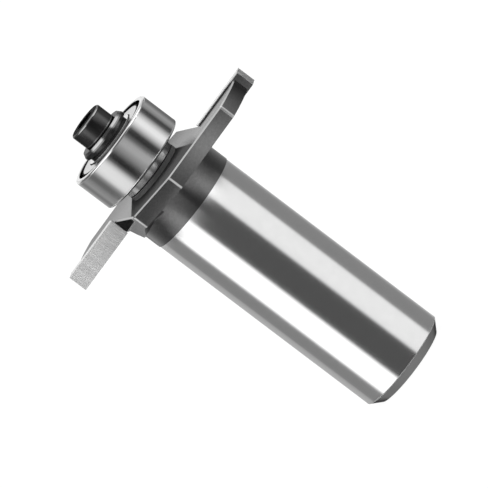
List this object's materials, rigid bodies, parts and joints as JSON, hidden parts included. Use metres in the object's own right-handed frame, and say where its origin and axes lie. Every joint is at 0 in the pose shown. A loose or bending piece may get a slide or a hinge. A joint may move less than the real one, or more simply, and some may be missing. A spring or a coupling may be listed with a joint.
{
  "type": "t-slot router bit",
  "caption": "Router bit for cutting a narrow slot: a round shank, flat wings with brazed carbide cutting edges, and a shielded guide bearing held by a washer and a socket screw.",
  "frame": {"origin": "centre of the shank's end face, on the spindle axis", "axes": "+Z along the spindle axis from the shank end to the clamp screw; the two cutting points lie on the X axis, and seen from +Z the bit cuts turning counter-clockwise"},
  "size_m": [0.0318, 0.0198, 0.0476],
  "materials": {
    "coated_and_ground_steel": "ground bright shank with fine turning marks, dark grey satin coating on collar and wings",
    "carbide": "ground tungsten carbide with fine cross lines",
    "turned_steel": "turned, bright",
    "bearing_steel": "ground and polished",
    "pressed_steel": "pressed sheet, bright",
    "spring_steel": "plain",
    "dark_steel": "darkened, glossy",
    "black_oxide": "black oxide, glossy"
  },
  "bodies": {
    "bit_body": {"cutter_body": "coated_and_ground_steel", "carbide_tip_1": "carbide", "carbide_tip_2": "carbide", "bearing_spacer": "turned_steel", "inner_ring": "bearing_steel", "retaining_washer": "dark_steel", "clamp_screw": "black_oxide"},
    "guide_ring": {"outer_ring": "bearing_steel", "shield_lower": "pressed_steel", "shield_upper": "pressed_steel", "snap_ring_lower": "spring_steel", "snap_ring_upper": "spring_steel"},
    "ball_cage": {"cage_lower": "pressed_steel", "cage_upper": "pressed_steel"},
    "rolling_ball_1": {"ball_1": "bearing_steel"},
    "rolling_ball_2": {"ball_2": "bearing_steel"},
    "rolling_ball_3": {"ball_3": "bearing_steel"},
    "rolling_ball_4": {"ball_4": "bearing_steel"},
    "rolling_ball_5": {"ball_5": "bearing_steel"},
    "rolling_ball_6": {"ball_6": "bearing_steel"},
    "rolling_ball_7": {"ball_7": "bearing_steel"}
  },
  "joints": [
    {"name": "guide_ring_spin", "type": "hinge", "parent": "bit_body", "child": "guide_ring", "pos_m": [0, 0, 0.04152], "axis": [0, 0, 1], "continuous": true},
    {"name": "ball_cage_spin", "type": "hinge", "parent": "bit_body", "child": "ball_cage", "pos_m": [0, 0, 0.04152], "axis": [0, 0, 1], "continuous": true},
    {"name": "ball_1_roll", "type": "hinge", "parent": "ball_cage", "child": "rolling_ball_1", "pos_m": [0.00437, 0, 0.04152], "axis": [0, 0, 1], "continuous": true},
    {"name": "ball_2_roll", "type": "hinge", "parent": "ball_cage", "child": "rolling_ball_2", "pos_m": [0.00272, 0.00341, 0.04152], "axis": [0, 0, 1], "continuous": true},
    {"name": "ball_3_roll", "type": "hinge", "parent": "ball_cage", "child": "rolling_ball_3", "pos_m": [-0.00097, 0.00426, 0.04152], "axis": [0, 0, 1], "continuous": true},
    {"name": "ball_4_roll", "type": "hinge", "parent": "ball_cage", "child": "rolling_ball_4", "pos_m": [-0.00393, 0.00189, 0.04152], "axis": [0, 0, 1], "continuous": true},
    {"name": "ball_5_roll", "type": "hinge", "parent": "ball_cage", "child": "rolling_ball_5", "pos_m": [-0.00393, -0.00189, 0.04152], "axis": [0, 0, 1], "continuous": true},
    {"name": "ball_6_roll", "type": "hinge", "parent": "ball_cage", "child": "rolling_ball_6", "pos_m": [-0.00097, -0.00426, 0.04152], "axis": [0, 0, 1], "continuous": true},
    {"name": "ball_7_roll", "type": "hinge", "parent": "ball_cage", "child": "rolling_ball_7", "pos_m": [0.00272, -0.00341, 0.04152], "axis": [0, 0, 1], "continuous": true}
  ],
  "couplings": [
    {"joint": "ball_cage_spin", "follows": "guide_ring_spin", "ratio": 0.63635},
    {"joint": "ball_1_roll", "follows": "guide_ring_spin", "ratio": 1.6971},
    {"joint": "ball_2_roll", "follows": "guide_ring_spin", "ratio": 1.6971},
    {"joint": "ball_3_roll", "follows": "guide_ring_spin", "ratio": 1.6971},
    {"joint": "ball_4_roll", "follows": "guide_ring_spin", "ratio": 1.6971},
    {"joint": "ball_5_roll", "follows": "guide_ring_spin", "ratio": 1.6971},
    {"joint": "ball_6_roll", "follows": "guide_ring_spin", "ratio": 1.6971},
    {"joint": "ball_7_roll", "follows": "guide_ring_spin", "ratio": 1.6971}
  ]
}
